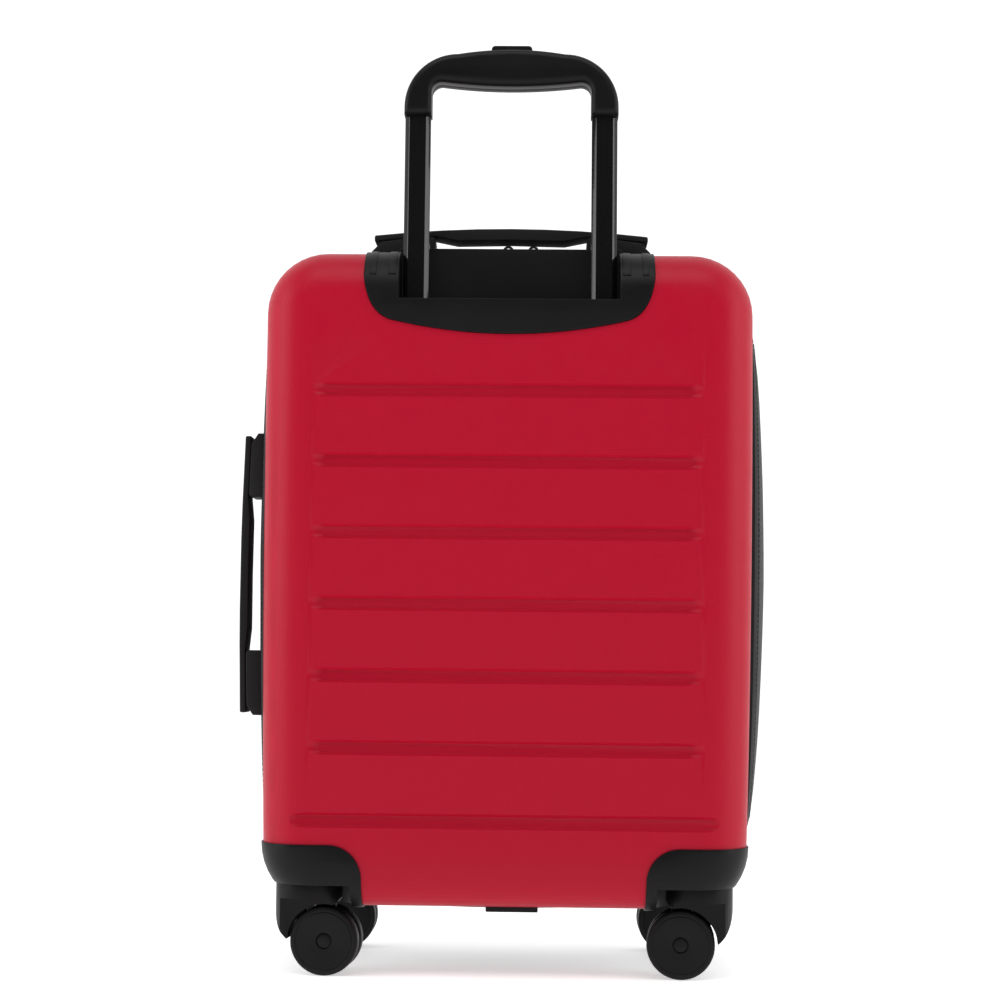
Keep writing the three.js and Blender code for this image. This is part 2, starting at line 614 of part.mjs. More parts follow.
// ---- Strap handles ---------------------------------------------------------------------
// Drawn lengthwise along X with Z away from the wall, then turned into place.
function strapShape({ pad, bow, thick }) {
  const half = STRAP_LENGTH / 2
  const seat = pad + FIT
  const rise = (u) => bow * (1 - (u / half) ** 2)
  const steps = 8
  const top = Array.from({ length: steps + 1 }, (_, i) => half - (2 * half * i) / steps)
    .map((u) => [u, seat + STRAP_END_THICK + rise(u)])
  const clear = half - PAD_LENGTH
  const gripEnd = clear - STRAP_THROAT
  const between = (half + clear) / 2
  const under = [[-half, seat], [-between, seat + rise(between)], [-clear, seat + rise(clear)],
    [-gripEnd, seat + rise(gripEnd) - thick + STRAP_END_THICK],
    [0, seat + rise(0) - thick + STRAP_END_THICK]]
  const mirrored = under.slice(0, -1).reverse().map(([u, z]) => [-u, z])
  return polygon([...top, ...under, ...mirrored])
}

function padShape(end, { pad, bow }) {
  const [outer, inner] = [STRAP_LENGTH / 2, STRAP_LENGTH / 2 - PAD_LENGTH]
  const top = (u) => pad + bow * (1 - (u / outer) ** 2)
  const between = (outer + inner) / 2
  return polygon([[inner, -GUSSET_BULGE], [outer + 2, -GUSSET_BULGE], [outer + 2, 2], [outer - 6, pad],
    [between, top(between)], [inner + 2, top(inner + 2)], [inner, top(inner) - 2]].map(([u, z]) => [end * u, z]))
}

const wallClear = caseForm(-FIT)
const topTurn = new THREE.Matrix4().makeTranslation(0, handleY, caseTop + TOP_SHARE * gussetBulge(handleY))
const sideTurn = new THREE.Matrix4()
  .makeTranslation(-leftWall, handleY, SIDE_HANDLE_HEIGHT)
  .multiply(new THREE.Matrix4().makeRotationY(-Math.PI / 2))

function placed(shape, width, matrix) {
  const geometry = geometryOf(slabY(shape, -width / 2, width / 2))
  geometry.deleteAttribute('normal')
  return solid(geometry.applyMatrix4(matrix))
}

const handles = [
  ['top', TOP_HANDLE, topTurn, ['right', 'left']],
  ['side', SIDE_HANDLE, sideTurn, ['upper', 'lower']],
]
handles.forEach(([name, handle, matrix, ends]) => {
  addPart(`${name}_strap`, placed(strapShape(handle), STRAP_WIDTH, matrix), 'satinBlack')
  ends.forEach((end, index) => {
    const pad = placed(padShape(index === 0 ? 1 : -1, handle), PAD_WIDTH, matrix)
    addPart(`${name}_strap_foot_${end}`, pad.subtract(wallClear), 'satinBlack')
  })
})

// ---- Corner guards and casters -------------------------------------------------------------
// The part of the case that a guard wraps, rounded where its two edges meet.
function guardRegion({ side, end }, grow = 0) {
  const region = (outer, reach, sign) => {
    const inner = outer - reach - grow
    const top = GUARD_TOP + grow
    const shape = new THREE.Shape()
    shape.moveTo(inner, CASE_BOTTOM - 20)
    shape.lineTo(inner, top - GUARD_CURVE)
    shape.absarc(inner + GUARD_CURVE, top - GUARD_CURVE, GUARD_CURVE, Math.PI, Math.PI / 2, true)
    shape.lineTo(outer + 30, top)
    shape.lineTo(outer + 30, CASE_BOTTOM - 20)
    return polygon(shape.getPoints(5).map(({ x, y }) => [sign * x, y]))
  }
  const across = slabY(region(halfWidth, GUARD_REACH, side), -WIDE, WIDE)
  const along = slabX(region(TOTAL_DEPTH / 2 - GUARD_PROUD, GUARD_REACH, end), -WIDE, WIDE)
  return across.intersect(along)
}

function guard(corner) {
  const { side, end } = corner
  const space = wheelRecess(corner, 0)
  const filled = wallClear.subtract(wheelRecess(corner, GUARD_LINER))
  const kingpinHole = rod(KINGPIN_RADIUS + FIT, 40, [side * swivelX, end * swivelY, RECESS_CEILING - 20], 'z', 12)
  return cut(caseForm(-GUARD_PROUD).intersect(guardRegion(corner)), filled, space, kingpinHole)
}

// A caster's own frame: the swivel axis is x = y = 0 and the wheels trail towards +X.
// The fork is a round head with a skirt on its leading side, cut out over the wheels, and a web between them.
function fork() {
  const headTop = RECESS_CEILING - RUN
  const headBottom = headTop - FORK_HEAD_THICK
  const half = WHEEL_GAP / 2 + WHEEL_WIDTH
  const r = FORK_RADIUS
  const barrel = rod(r, headTop, [0, 0, 0], 'z', 20)
  const side = slabY(polygon([[-r, headTop], [-r, headTop - 15], [-r + 1.2, headTop - 24], [-r + 5, headTop - 33],
    [-r + 9.5, WHEEL_RADIUS + 4.5], [-r + 11, WHEEL_RADIUS + 1.5], [0, WHEEL_RADIUS + 1.5],
    [r, headBottom], [r, headTop]]), -half - 1, half + 1)
  const head = rod(r, FORK_HEAD_THICK, [0, 0, headBottom], 'z', 20)
  const arch = rod(WHEEL_RADIUS + ARCH_GAP, 4 * r, [CASTER_TRAIL, -2 * r, WHEEL_RADIUS], 'y', 24)
  const web = slabY(polygon([[-15, headBottom + 1], [-13, 46], [6, 20], [14, 17], [21, 22], [21, headBottom + 1]]),
    -WHEEL_GAP / 2 + RUN, WHEEL_GAP / 2 - RUN)
  const axleHole = rod(AXLE_RADIUS + FIT, 2 * half, [CASTER_TRAIL, -half, WHEEL_RADIUS], 'y', 10)
  const pinHole = rod(KINGPIN_RADIUS + RUN, 60, [0, 0, 40], 'z', 12)
  const headPocket = rod(KINGPIN_RADIUS + 3 + RUN, 14, [0, 0, headBottom - 8], 'z', 12)
  return cut(join(cut(join(barrel.intersect(side), head), arch), web), axleHole, pinHole, headPocket)
}

function lathe(profile, segments) {
  const points = [...profile, profile[0]].map(([r, h]) => new THREE.Vector2(r, h))
  return new THREE.LatheGeometry(points, segments)
}

function kingpin() {
  const [bottom, top] = [RECESS_CEILING - RUN - 7, RECESS_CEILING + GUARD_LINER - FIT]
  const r = KINGPIN_RADIUS
  return lathe([[0, bottom - 2.5], [r + 2, bottom - 2.5], [r + 3, bottom - 1.5], [r + 3, bottom],
    [r, bottom], [r, top], [0, top]], 10).rotateX(Math.PI / 2)
}

const WHEEL_SEGMENTS = 16
const AXLE_HEAD = AXLE_RADIUS + 2.5

function wheel() {
  const [R, w, b] = [WHEEL_RADIUS, WHEEL_WIDTH, AXLE_RADIUS + RUN]
  return lathe([[b, 0], [R - 1.5, 0], [R, 1.5], [R, w - 1.5], [R - 1.5, w], [R - 4, w],
    [R - 5, w - 1], [AXLE_HEAD + RUN, w - 1.5], [AXLE_HEAD + RUN, w - 3.5], [b, w - 3.5]], WHEEL_SEGMENTS)
}

function axle() {
  const half = WHEEL_GAP / 2 + WHEEL_WIDTH - 1.6
  const neck = WHEEL_GAP / 2 + WHEEL_WIDTH - 3.5 + RUN
  return lathe([[0, -half], [AXLE_HEAD, -half], [AXLE_HEAD, -neck], [AXLE_RADIUS, -neck], [AXLE_RADIUS, neck],
    [AXLE_HEAD, neck], [AXLE_HEAD, half], [0, half]], 10)
}

corners.forEach((corner) => {
  const { name, side, end, yaw } = corner
  addPart(`${name}_guard`, guard(corner), 'satinBlack')
  const caster = new THREE.Group()
  caster.position.set(side * swivelX, end * swivelY, 0)
  suitcase.add(caster)
  addPart(`${name}_kingpin`, kingpin(), 'steel', caster)
  const swivel = new THREE.Group()
  swivel.rotation.z = rad(yaw) + (side > 0 ? Math.PI : 0)
  caster.add(swivel)
  addPart(`${name}_fork`, fork(), 'satinBlack', swivel)
  const hub = new THREE.Group()
  hub.position.set(CASTER_TRAIL, 0, WHEEL_RADIUS)
  swivel.add(hub)
  addPart(`${name}_axle`, axle(), 'rubberBlack', hub)
  const wheelSides = [['near', side], ['far', -side]]
  wheelSides.forEach(([label, sign]) => {
    const mesh = addPart(`${name}_wheel_${label}`, wheel(), 'rubberBlack', hub)
    mesh.position.y = sign * (WHEEL_GAP / 2)
    mesh.rotation.x = sign > 0 ? 0 : Math.PI
  })
})

// A small stud under the back's lower edge.
const [studX, studY] = [STUD_PLACE[0] - STUD[0] / 2, backFace + STUD_PLACE[1]]
addPart('base_stud', box([studX, studX + STUD[0]], [studY, studY + STUD[1]],
  [CASE_BOTTOM - STUD[2], CASE_BOTTOM + BACK_EDGE]).subtract(wallClear), 'satinBlack')

export default suitcase
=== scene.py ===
"""Looks of an upright cabin suitcase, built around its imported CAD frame.

Shapes are drawn in millimetres in the case's own frame: x from the case's middle, y to the
front, z above the floor. finish_piece() turns each into metres in the row frame.
"""
import json
import math

import bmesh
import bpy
from mathutils import Matrix, Vector, noise

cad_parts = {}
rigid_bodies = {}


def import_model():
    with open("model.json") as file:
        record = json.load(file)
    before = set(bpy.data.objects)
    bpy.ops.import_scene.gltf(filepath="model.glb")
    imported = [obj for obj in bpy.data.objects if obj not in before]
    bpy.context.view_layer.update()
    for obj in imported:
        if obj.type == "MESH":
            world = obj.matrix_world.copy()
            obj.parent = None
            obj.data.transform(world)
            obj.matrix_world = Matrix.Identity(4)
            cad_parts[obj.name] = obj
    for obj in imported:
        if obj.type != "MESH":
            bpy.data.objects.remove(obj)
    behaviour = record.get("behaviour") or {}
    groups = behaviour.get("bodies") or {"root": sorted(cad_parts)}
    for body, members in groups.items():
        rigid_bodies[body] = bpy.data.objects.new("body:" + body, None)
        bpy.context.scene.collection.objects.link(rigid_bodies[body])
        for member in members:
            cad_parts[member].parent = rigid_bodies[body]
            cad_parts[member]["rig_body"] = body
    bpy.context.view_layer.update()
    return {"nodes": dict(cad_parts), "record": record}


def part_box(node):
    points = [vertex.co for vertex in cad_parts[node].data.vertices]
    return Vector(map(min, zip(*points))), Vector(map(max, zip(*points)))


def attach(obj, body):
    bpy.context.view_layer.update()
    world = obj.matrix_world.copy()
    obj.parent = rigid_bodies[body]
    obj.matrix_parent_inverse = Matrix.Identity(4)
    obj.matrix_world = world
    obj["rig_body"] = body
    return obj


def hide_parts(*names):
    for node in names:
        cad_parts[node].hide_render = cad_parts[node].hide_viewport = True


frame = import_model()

nodes = frame["nodes"]
MM = 0.001

# ---- Sizes shared by many pieces, in millimetres -------------------------------------------------
shell_low, shell_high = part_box("back_shell")
MIDDLE = (shell_low.x + shell_high.x) / 2 / MM


def box_mm(node):
    """A CAD node's box in the case's own frame."""
    low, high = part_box(node)
    return tuple(Vector((p.x / MM - MIDDLE, p.y / MM, p.z / MM)) for p in (low, high))


HALF = round((shell_high.x - shell_low.x) / MM / 2)
BOTTOM = round(shell_low.z / MM)
TOP = round(shell_high.z / MM)
BACK = box_mm("back_shell")[0].y
FRONT = box_mm("front_lid")[1].y
LID_PLANE = box_mm("front_lid")[0].y
LID_BOTTOM = box_mm("front_lid")[0].z
RIM = BACK + 53
CORNER = 48
BACK_EDGE = 36
FRONT_EDGE = 20
BULGE = 15
BULGE_POWER = 0.4
WALLS = ((1.2, BULGE_POWER), (0.6, BULGE_POWER), (0.8, BULGE_POWER), (0.5, 1.5))
SIDE_TAPER = 4.8
TAPER_POWER = 2.2
GAP = 0.3
RUN = 0.45
BIG = 400
RECESS_CEILING = box_mm("rear_left_fork")[1].z + RUN


def rad(degrees):
    return math.radians(degrees)


# ---- Meshes and solids ---------------------------------------------------------------------------
def make(name, points, faces):
    mesh = bpy.data.meshes.new(name)
    mesh.from_pydata([tuple(p) for p in points], [], faces)
    bm = bmesh.new()
    bm.from_mesh(mesh)
    bmesh.ops.recalc_face_normals(bm, faces=bm.faces)
    bm.to_mesh(mesh)
    bm.free()
    obj = bpy.data.objects.new(name, mesh)
    bpy.context.scene.collection.objects.link(obj)
    return obj


def loft(name, rings, closed=False):
    """A surface through equal rings of points, capped at both ends unless it closes on itself."""
    count = len(rings[0])
    points = [p for ring in rings for p in ring]
    faces = []
    for i in range(len(rings) - (0 if closed else 1)):
        a, b = i * count, ((i + 1) % len(rings)) * count
        for j in range(count):
            k = (j + 1) % count
            faces.append((a + j, a + k, b + k, b + j))
    if not closed:
        faces.append(tuple(range(count)))
        faces.append(tuple(range(len(points) - count, len(points))))
    return make(name, points, faces)


def prism(outline, low, high, axis="y"):
    """An outline made solid between two places along an axis."""
    order = {"x": lambda u, v, t: (t, u, v), "y": lambda u, v, t: (u, t, v), "z": lambda u, v, t: (u, v, t)}
    place = order[axis]
    return loft("tool", [[place(u, v, t) for u, v in outline] for t in (low, high)])


def block(x, y, z):
    return prism([(x[0], z[0]), (x[1], z[0]), (x[1], z[1]), (x[0], z[1])], y[0], y[1])


def arc(cx, cy, radius, start, end, steps):
    turns = [rad(start + (end - start) * i / steps) for i in range(steps + 1)]
    return [(cx + radius * math.cos(t), cy + radius * math.sin(t)) for t in turns]


def curve(a, control, b, steps):
    points = []
    for i in range(steps + 1):
        t = i / steps
        weights = ((1 - t) ** 2, 2 * t * (1 - t), t * t)
        points.append(tuple(weights[0] * a[k] + weights[1] * control[k] + weights[2] * b[k] for k in (0, 1)))
    return points


def rod(radius, low, high, place, axis="z", sides=48):
    """A cylinder. Place is its middle across the axis."""
    return prism(arc(place[0], place[1], radius, 0, 360 * (sides - 1) / sides, sides - 1), low, high, axis)


def combine(obj, operation, *tools):
    for tool in tools:
        change = obj.modifiers.new("solid", "BOOLEAN")
        change.operation = operation
        change.solver = "MANIFOLD"
        change.object = tool
    bpy.context.view_layer.update()
    shaped = obj.evaluated_get(bpy.context.evaluated_depsgraph_get())
    mesh = bpy.data.meshes.new_from_object(shaped)
    obj.modifiers.clear()
    obj.data = mesh
    for tool in tools:
        bpy.data.objects.remove(tool)
    return obj


def cut(obj, *tools):
    return combine(obj, "DIFFERENCE", *tools)


def keep(obj, *tools):
    return combine(obj, "INTERSECT", *tools)


def join(obj, *tools):
    return combine(obj, "UNION", *tools)


def apply_modifiers(obj):
    bpy.context.view_layer.update()
    shaped = obj.evaluated_get(bpy.context.evaluated_depsgraph_get())
    mesh = bpy.data.meshes.new_from_object(shaped)
    obj.modifiers.clear()
    obj.data = mesh


def finish_piece(obj, name, body, material, replaced=(), bevel=0.0, segments=3, smooth=32,
                 metres=False):
    """Rounds a piece's edges, puts it in the row frame and hangs it on its CAD body."""
    obj.name = name
    if not metres:
        obj.data.transform(Matrix.Translation((MIDDLE * MM, 0, 0)) @ Matrix.Scale(MM, 4))
    if bevel:
        bm = bmesh.new()
        bm.from_mesh(obj.data)
        bmesh.ops.remove_doubles(bm, verts=bm.verts, dist=1e-6)
        bmesh.ops.dissolve_limit(bm, angle_limit=rad(0.6), verts=bm.verts, edges=bm.edges)
        bm.to_mesh(obj.data)
        bm.free()
        rounding = obj.modifiers.new("round", "BEVEL")
        rounding.width = bevel * MM
        rounding.segments = segments
        rounding.limit_method = "ANGLE"
        rounding.angle_limit = rad(38)
        apply_modifiers(obj)
    obj.data.shade_smooth()
    obj.data.set_sharp_from_angle(angle=rad(smooth))
    if isinstance(material, (list, tuple)):
        slots = list(material)
    else:
        slots = [material]
    marks = [p.material_index for p in obj.data.polygons]
    obj.data.materials.clear()
    for m in slots:
        obj.data.materials.append(m)
    for polygon, mark in zip(obj.data.polygons, marks):
        polygon.material_index = min(mark, len(slots) - 1)
    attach(obj, body)
    if replaced:
        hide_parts(*replaced)
    return obj


def refined(node, material, bevel, segments=3, smooth=35):
    """A copy of a CAD piece with its edges rounded."""
    copy = bpy.data.objects.new(node + "_look", nodes[node].data.copy())
    bpy.context.scene.collection.objects.link(copy)
    return finish_piece(copy, node + "_look", nodes[node]["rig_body"], material, [node],
                        bevel, segments, smooth, metres=True)


def sweep(name, path, radius, sides=8, closed=False):
    """A round tube along a path of points."""
    rings = []
    count = len(path)
    points = [Vector(p) for p in path]
    for i, p in enumerate(points):
        before = points[i - 1] if i or closed else p
        after = points[(i + 1) % count] if i < count - 1 or closed else p
        along = (after - before).normalized()
        side = along.cross(Vector((0, 1, 0)))
        if side.length < 0.1:
            side = along.cross(Vector((1, 0, 0)))
        side.normalize()
        other = along.cross(side)
        ring = [p + radius * (math.cos(t) * side + math.sin(t) * other)
                for t in (2 * math.pi * k / sides for k in range(sides))]
        rings.append(ring)
    return loft(name, rings, closed)


def merged(name, objects):
    bm = bmesh.new()
    for obj in objects:
        bm.from_mesh(obj.data)
        bpy.data.objects.remove(obj)
    mesh = bpy.data.meshes.new(name)
    bm.to_mesh(mesh)
    bm.free()
    obj = bpy.data.objects.new(name, mesh)
    bpy.context.scene.collection.objects.link(obj)
    return obj


# ---- Materials -----------------------------------------------------------------------------------
class Nodes:
    """A short way to write a procedural material."""

    def __init__(self, name, roughness, specular, **sockets):
        self.material = bpy.data.materials.new(name)
        self.material.use_nodes = True
        self.tree = self.material.node_tree
        self.shader = self.tree.nodes["Principled BSDF"]
        self.shader.inputs["Roughness"].default_value = roughness
        self.shader.inputs["Specular IOR Level"].default_value = specular
        for key, value in sockets.items():
            self.shader.inputs[key.replace("_", " ")].default_value = value
        self.coords = self.add("ShaderNodeTexCoord").outputs["Object"]
        self.split = self.add("ShaderNodeSeparateXYZ", Vector=self.coords)

    def add(self, kind, **inputs):
        node = self.tree.nodes.new(kind)
        for key, value in inputs.items():
            self.feed(node.inputs[key], value)
        return node

    def feed(self, socket, value):
        if isinstance(value, bpy.types.NodeSocket):
            self.tree.links.new(value, socket)
        else:
            socket.default_value = value

    def math(self, operation, *values):
        node = self.tree.nodes.new("ShaderNodeMath")
        node.operation = operation
        for socket, value in zip(node.inputs, values):
            self.feed(socket, value)
        return node.outputs[0]

    def noise(self, scale, detail=2.0, stretch=None):
        vector = self.coords
        if stretch:
            vector = self.add("ShaderNodeMapping", Vector=self.coords, Scale=stretch).outputs[0]
        return self.add("ShaderNodeTexNoise", Vector=vector, Scale=scale, Detail=detail).outputs["Fac"]

    def ramp(self, value, low, high):
        node = self.tree.nodes.new("ShaderNodeMapRange")
        self.feed(node.inputs["Value"], value)
        node.inputs["To Min"].default_value = low
        node.inputs["To Max"].default_value = high
        return node.outputs[0]

    def mix(self, factor, a, b):
        node = self.tree.nodes.new("ShaderNodeMix")
        node.data_type = "RGBA"
        self.feed(node.inputs["Factor"], factor)
        self.feed(node.inputs[6], a)
        self.feed(node.inputs[7], b)
        return node.outputs[2]

    def weave(self, pitch, slant=1.0):
        """Crossed threads, from 0 to 1, at a pitch in metres. Slant 1 sets them at 45 degrees."""
        x, y, z = self.split.outputs
        across = self.math("ADD", x, y)
        upward = self.math("ADD", z, self.math("MULTIPLY", y, 0.61))
        wave = 2 * math.pi / pitch
        one = self.math("ADD", across, self.math("MULTIPLY", upward, slant))
        two = self.math("SUBTRACT", self.math("MULTIPLY", across, slant), upward)
        first = self.math("SINE", self.math("MULTIPLY", one, wave))
        second = self.math("SINE", self.math("MULTIPLY", two, wave))
        product = self.math("MULTIPLY", first, second)
        return self.math("MULTIPLY_ADD", product, 0.5, 0.5)

    def bump(self, height, strength, distance, before=None):
        node = self.add("ShaderNodeBump", Height=height, Strength=strength, Distance=distance)
        if before:
            self.tree.links.new(before, node.inputs["Normal"])
        return node.outputs[0]

    def done(self, colour=None, roughness=None, normal=None):
        for key, value in (("Base Color", colour), ("Roughness", roughness), ("Normal", normal)):
            if value is not None:
                self.feed(self.shader.inputs[key], value)
        return self.material


def shell_material():
    n = Nodes("shell_red", 0.36, 0.16)
    weave = n.weave(0.0021)
    cloud = n.noise(9.0, 3.0)
    threads = n.mix(weave, (0.36, 0.0022, 0.018, 1), (0.46, 0.0036, 0.024, 1))
    colour = n.mix(n.ramp(cloud, 0.0, 0.25), threads, (0.40, 0.0028, 0.020, 1))
    rough = n.ramp(n.math("ADD", n.math("MULTIPLY", weave, 0.35), n.noise(60.0)), 0.34, 0.46)
    normal = n.bump(weave, 0.35, 0.00012, n.bump(n.noise(700.0), 0.12, 0.0001))
    return n.done(colour, rough, normal)


def fabric_material(name, dark, light, pitch, specular=0.25, slant=0.0, rough=(0.62, 0.8), sheen=0.12):
    n = Nodes(name, rough[0], specular, Sheen_Weight=sheen, Sheen_Roughness=0.4)
    weave = n.weave(pitch, slant)
    cloud = n.noise(14.0, 4.0)
    threads = n.mix(weave, (*dark, 1), (*light, 1))
    colour = n.mix(n.ramp(cloud, 0.0, 0.35), threads, (*[(a + b) / 2 * 0.85 for a, b in zip(dark, light)], 1))
    normal = n.bump(weave, 0.5, 0.0002, n.bump(n.noise(25.0, 4.0), 0.25, 0.0006))
    return n.done(colour, n.ramp(cloud, *rough), normal)


def plastic_material(name, dark, light, rough, grain=900.0, bump=0.18, specular=0.4, **sockets):
    n = Nodes(name, rough[0], specular, **sockets)
    fine = n.noise(grain, 2.0)
    cloud = n.noise(18.0, 5.0)
    colour = n.mix(cloud, (*dark, 1), (*light, 1))
    return n.done(colour, n.ramp(cloud, *rough), n.bump(fine, bump, 0.00012))


def brushed_material(name, dark, light, rough, metallic, stretch=(900.0, 900.0, 6.0), specular=0.5,
                     **sockets):
    n = Nodes(name, rough[0], specular, Metallic=metallic, **sockets)
    lines = n.noise(1.0, 3.0, stretch)
    colour = n.mix(lines, (*dark, 1), (*light, 1))
    return n.done(colour, n.ramp(lines, *rough), n.bump(lines, 0.06, 0.00006))


MATERIALS = {
    "shell_red": shell_material(),
    "body_fabric": fabric_material("body_fabric", (0.006, 0.006, 0.007), (0.017, 0.017, 0.019), 0.0011),
    "lid_fabric": fabric_material("lid_fabric", (0.27, 0.004, 0.018), (0.40, 0.010, 0.030), 0.0012, 0.2),
    "lining": fabric_material("lining", (0.05, 0.05, 0.055), (0.09, 0.09, 0.095), 0.0016, 0.2, 1.0),
    "trim_black": fabric_material("trim_black", (0.005, 0.005, 0.006), (0.018, 0.018, 0.02), 0.0009, 0.3,
                                  1.0),
    "steel": brushed_material("steel", (0.50, 0.50, 0.51), (0.68, 0.68, 0.69), (0.24, 0.36), 1.0),
    "zip_metal": brushed_material("zip_metal", (0.05, 0.05, 0.055), (0.12, 0.12, 0.125), (0.2, 0.34), 1.0,
                                  (300.0, 40.0, 300.0)),
    "tube_gloss_black": brushed_material("tube_gloss_black", (0.003, 0.003, 0.0034), (0.005, 0.005, 0.0054),
                                         (0.10, 0.20), 0.0, (700.0, 700.0, 5.0), 0.3, Coat_Weight=0.2,
                                         Coat_Roughness=0.06),
    "plastic_black": plastic_material("plastic_black", (0.003, 0.003, 0.0034), (0.006, 0.006, 0.0064),
                                      (0.38, 0.52), specular=0.15),
    "grip_black": plastic_material("grip_black", (0.003, 0.003, 0.0034), (0.005, 0.005, 0.0054), (0.34, 0.46),
                                   1300.0, 0.12, 0.14),
    "handle_rubber": plastic_material("handle_rubber", (0.005, 0.005, 0.0055), (0.010, 0.010, 0.0105),
                                      (0.5, 0.64), 1100.0, 0.22, 0.2),
    "wheel_black": plastic_material("wheel_black", (0.004, 0.004, 0.0045), (0.008, 0.008, 0.0085),
                                    (0.42, 0.58), 1000.0, 0.16, 0.18),
}
SHELL = [MATERIALS["shell_red"], MATERIALS["lining"]]
BODY = [MATERIALS["body_fabric"], MATERIALS["lining"]]
LID = [MATERIALS["lid_fabric"], MATERIALS["lining"]]

# ---- The case's form -----------------------------------------------------------------------------
ARC_STEPS = 10
WALL_STEPS = 20
EDGE_STEPS = 9
GUSSET_STEPS = 18


def gusset_bulge(y):
    share = min(max((y - RIM) / (FRONT - FRONT_EDGE - RIM), 0), 1)
    return BULGE * math.sin(math.pi * share) ** BULGE_POWER


def outline(y, inset, bulge):
    """The case seen from the back, each wall pushed out by its share of the bulge."""
    x, low, high = HALF - CORNER, BOTTOM + CORNER, TOP - CORNER
    places = [(x - SIDE_TAPER, low, -90), (x, high, 0), (-x, high, 90), (SIDE_TAPER - x, low, 180)]
    radius = CORNER - inset
    points = []
    for index, (cx, cz, start) in enumerate(places):
        share, power = WALLS[index]
        points += [(px, y, pz) for px, pz in arc(cx, cz, radius, start, start + 90, ARC_STEPS)]
        nx, nz, _ = places[(index + 1) % 4]
        turn = rad(start + 90)
        for step in range(1, WALL_STEPS):
            along = step / WALL_STEPS
            reach = radius + bulge * share * math.sin(math.pi * along) ** power
            mx, mz = cx + (nx - cx) * along, cz + (nz - cz) * along
            if cx * nx > 0:
                mx = math.copysign(x - SIDE_TAPER * ((high - mz) / (high - low)) ** TAPER_POWER, cx)
            points.append((mx + reach * math.cos(turn), y, mz + reach * math.sin(turn)))
    return points


def case_form(inset, mark=0):
    """The whole case as one solid, drawn in by the inset. The mark picks its material."""
    rings = []
    for step in range(EDGE_STEPS):
        turn = rad(90 * step / EDGE_STEPS)
        reach = BACK_EDGE - inset
        y = BACK + BACK_EDGE - reach * math.cos(turn)
        rings.append(outline(y, BACK_EDGE - reach * math.sin(turn), 0))
    rings.append(outline(BACK + BACK_EDGE, inset, 0))
    for step in range(GUSSET_STEPS + 1):
        share = (1 - math.cos(math.pi * step / GUSSET_STEPS)) / 2
        y = RIM + (FRONT - FRONT_EDGE - RIM) * share
        rings.append(outline(y, inset, gusset_bulge(y)))
    for step in range(EDGE_STEPS - 1, -1, -1):
        turn = rad(90 * step / EDGE_STEPS)
        reach = FRONT_EDGE - inset
        y = FRONT - FRONT_EDGE + reach * math.cos(turn)
        rings.append(outline(y, FRONT_EDGE - reach * math.sin(turn), 0))
    form = loft("form", rings)
    for material in BODY:
        form.data.materials.append(material)
    for polygon in form.data.polygons:
        polygon.material_index = mark
    return form


REAR_YAW = -4
CORNERS = [("rear_left", -1, -1, REAR_YAW), ("rear_right", 1, -1, REAR_YAW), ("front_left", -1, 1, 0),
           ("front_right", 1, 1, 0)]
swivel_low, swivel_high = box_mm("front_right_kingpin")
SWIVEL = ((swivel_low.x + swivel_high.x) / 2, (swivel_low.y + swivel_high.y) / 2)
RECESS_REACH = 34
RECESS_CORNER = 25
GUARD_LINER = 4


def wheel_recess(side, end, grow):
    """The space a caster swings in, open outward and below."""
    reach, out = RECESS_REACH + grow, -2 * CORNER
    turn = reach - RECESS_CORNER
    shape = [(out, out), (reach, out), *arc(turn, turn, RECESS_CORNER, 0, 90, 12), (out, reach)]
    placed = [(side * (SWIVEL[0] - x), end * (SWIVEL[1] - y)) for x, y in shape]
    return prism(placed, BOTTOM - 20, RECESS_CEILING + grow, "z")


def recesses(grow):
    return [wheel_recess(side, end, grow) for _, side, end, _ in CORNERS]


def slab(y0, y1, z0=-BIG, z1=2 * BIG):
    return block((-BIG, BIG), (y0, y1), (z0, z1))


BEZEL_HALF = box_mm("trolley_bezel")[1].x
BEZEL_REAR = BACK + 48
BEZEL_DROP = 68


def bezel_outline(grow, steps=24):
    half = BEZEL_HALF + grow
    low = TOP - BEZEL_DROP - grow
    sag = curve((-half + 24, low + 10), (0, low - 10), (half - 24, low + 10), steps)
    left = curve((-half, low + 46), (-half + 3, low + 14), (-half + 24, low + 10), 14)[:-1]
    right = [(-x, z) for x, z in reversed(left)]
    return [(-half, TOP + BIG), *left, *sag, *right, (half, TOP + BIG)]


# ---- Back shell ----------------------------------------------------------------------------------
RIBS = 7
RIB_PITCH = 54.5
RIB_DEPTH = 3.0


def groove(index):
    """A shallow groove with soft walls, whose ends taper out to the surface."""
    length = 334 if index == 0 else 301
    z = BOTTOM + 66.5 + index * RIB_PITCH
    steps = 12
    rings = []
    for depth, tall, end in ((-8, 5.75, 12), (0, 5.75, 12), (0.5, 5.35, 10.5), (RIB_DEPTH * 0.8, 4.3, 5.5),
                             (RIB_DEPTH, 3.7, 3.5)):
        reach = length / 2 - 12
        shape = [(reach + end * math.cos(rad(t)), z + tall * math.sin(rad(t)))
                 for t in range(-90, 91, 180 // steps)]
        shape += [(-x, 2 * z - h) for x, h in shape]
        rings.append([(x, BACK + depth, h) for x, h in shape])
    return loft("groove", rings)


def back_shell():
    shell = keep(case_form(0), slab(-BIG, RIM - 1.8))
    hollow = keep(case_form(2.5, 1), slab(BACK + 6.5, BIG))
    cut(shell, hollow, *[groove(i) for i in range(RIBS)],
        prism(bezel_outline(GAP), BACK - 20, BEZEL_REAR + GAP), *recesses(GUARD_LINER + GAP))
    return finish_piece(shell, "shell", "case", SHELL, ["back_shell"], smooth=28)


back_shell()


